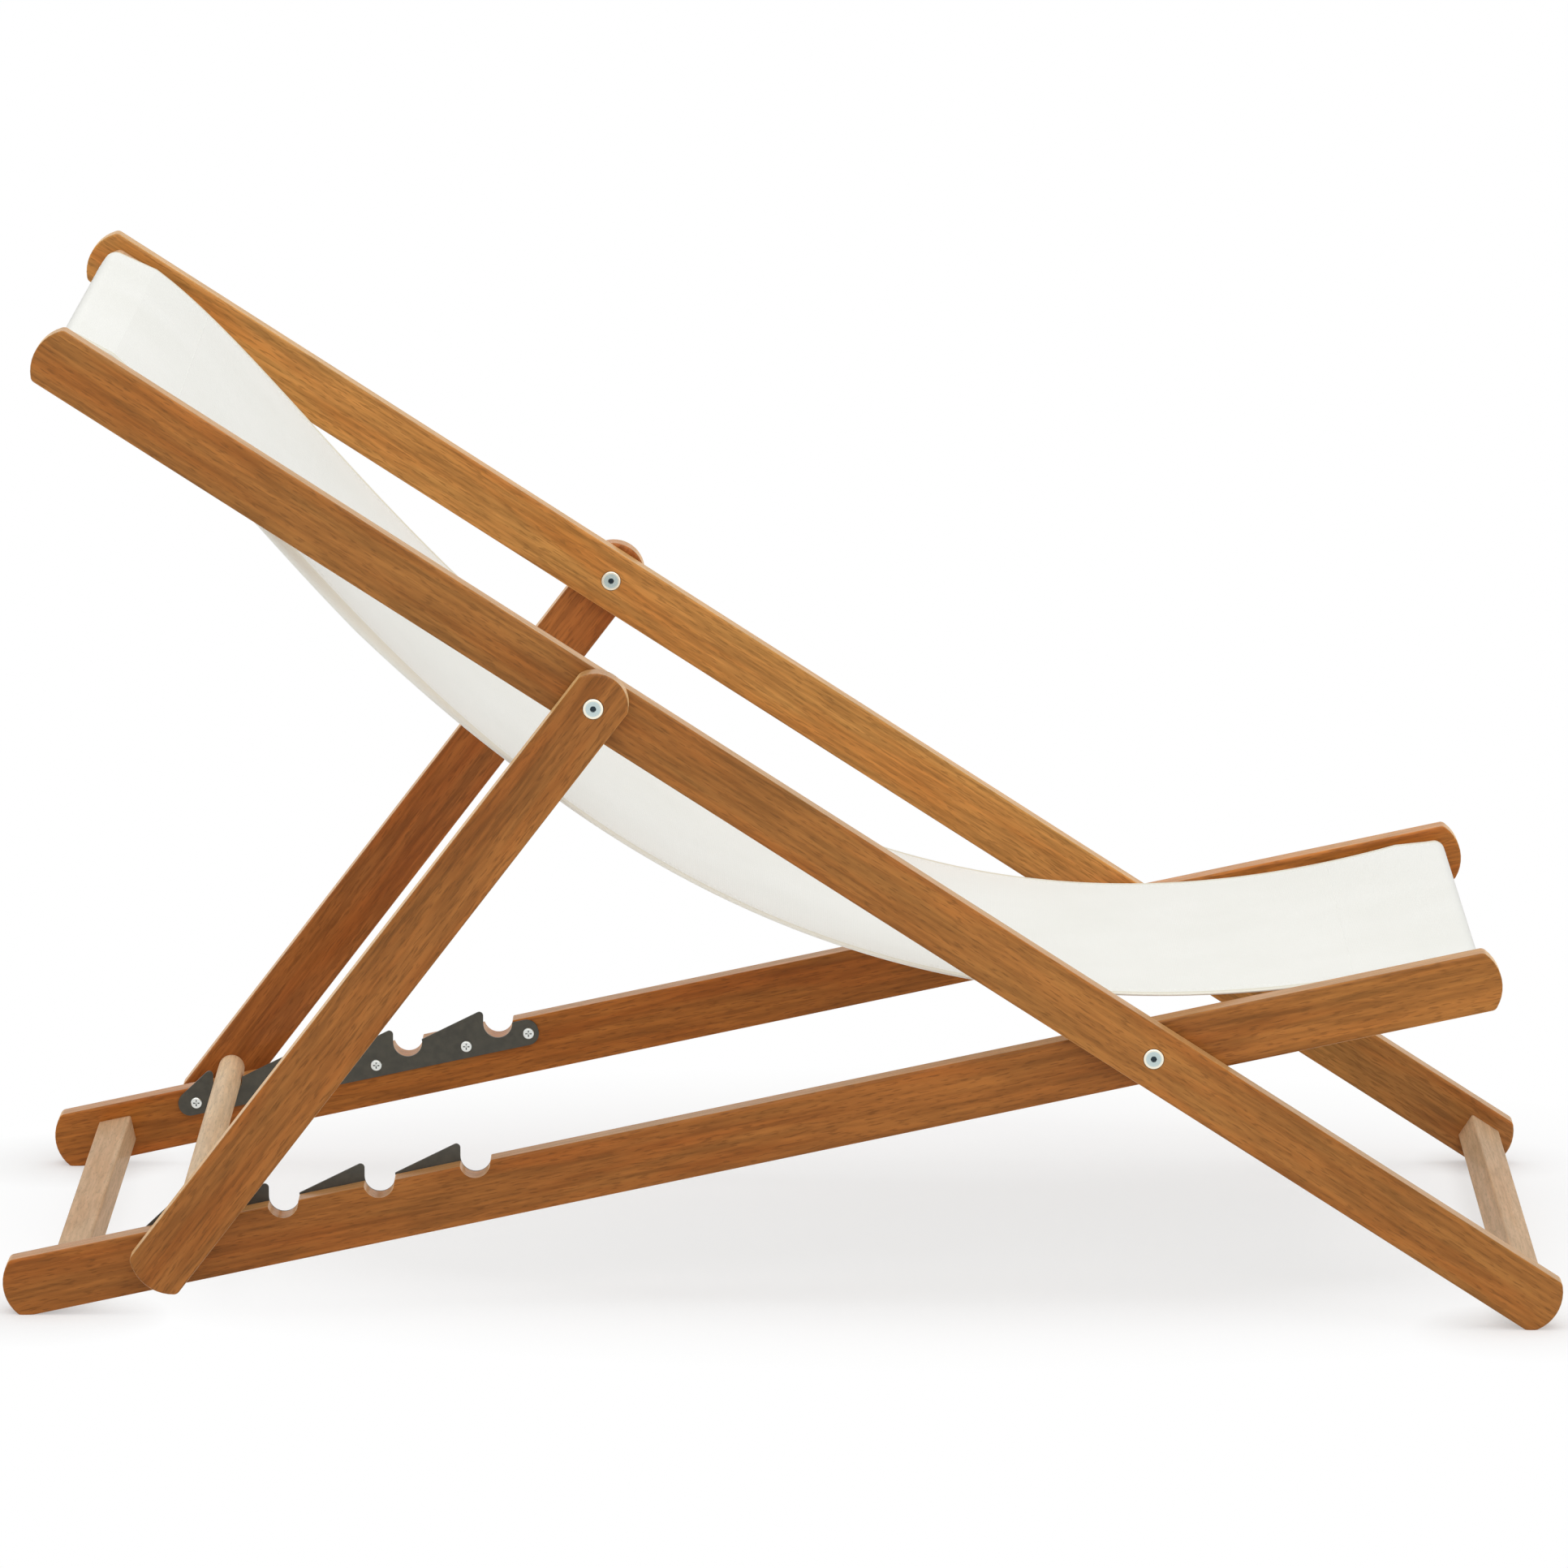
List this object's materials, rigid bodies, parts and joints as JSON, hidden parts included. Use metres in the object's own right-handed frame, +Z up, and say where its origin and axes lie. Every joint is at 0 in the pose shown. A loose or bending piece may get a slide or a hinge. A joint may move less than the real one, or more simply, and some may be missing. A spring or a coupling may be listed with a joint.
{
  "type": "folding deck chair",
  "caption": "Folding wooden deck chair: scissored seat and back frames, a prop frame whose dowel rests in steel-lined notches, and a canvas sling hung between two bars.",
  "frame": {"origin": "on the floor, under the middle of the chair's bounding box", "axes": "+X to the front of the seat, +Y to the sitter's left, +Z up"},
  "size_m": [1.1199, 0.6012, 0.7171],
  "materials": {
    "stained_wood": "satin oiled",
    "pale_wood": "sanded raw",
    "plate_steel": "dark bronzed",
    "zinc_screw": "zinc plated",
    "bright_steel": "plated",
    "canvas": "plain weave"
  },
  "bodies": {
    "seat_frame": {"seat_rail_left": "stained_wood", "seat_rail_right": "stained_wood", "front_bar": "pale_wood", "rear_bar": "pale_wood", "notch_plate_left": "plate_steel", "notch_plate_right": "plate_steel", "plate_screws_left": "zinc_screw", "plate_screws_right": "zinc_screw", "scissor_bolt_left": "bright_steel", "scissor_bolt_right": "bright_steel", "scissor_nut_left": "bright_steel", "scissor_nut_right": "bright_steel", "scissor_washer_left": "bright_steel", "scissor_washer_right": "bright_steel"},
    "back_frame": {"back_rail_left": "stained_wood", "back_rail_right": "stained_wood", "head_bar": "pale_wood", "foot_bar": "pale_wood", "sling": "canvas", "prop_bolt_left": "bright_steel", "prop_bolt_right": "bright_steel", "prop_nut_left": "bright_steel", "prop_nut_right": "bright_steel", "prop_washer_left": "bright_steel", "prop_washer_right": "bright_steel"},
    "prop_frame": {"prop_leg_left": "stained_wood", "prop_leg_right": "stained_wood", "prop_dowel": "pale_wood"}
  },
  "joints": [
    {"name": "back_raise", "type": "hinge", "parent": "seat_frame", "child": "back_frame", "pos_m": [0.26498, 0, 0.1971], "axis": [0, 1, 0], "range_deg": [0, 20], "deforming": ["sling"]},
    {"name": "prop_swing", "type": "hinge", "parent": "back_frame", "child": "prop_frame", "pos_m": [-0.13424, 0, 0.45282], "axis": [0, 1, 0], "range_deg": [-5, 0]}
  ],
  "couplings": [
    {"joint": "prop_swing", "follows": "back_raise", "ratio": -0.25}
  ]
}
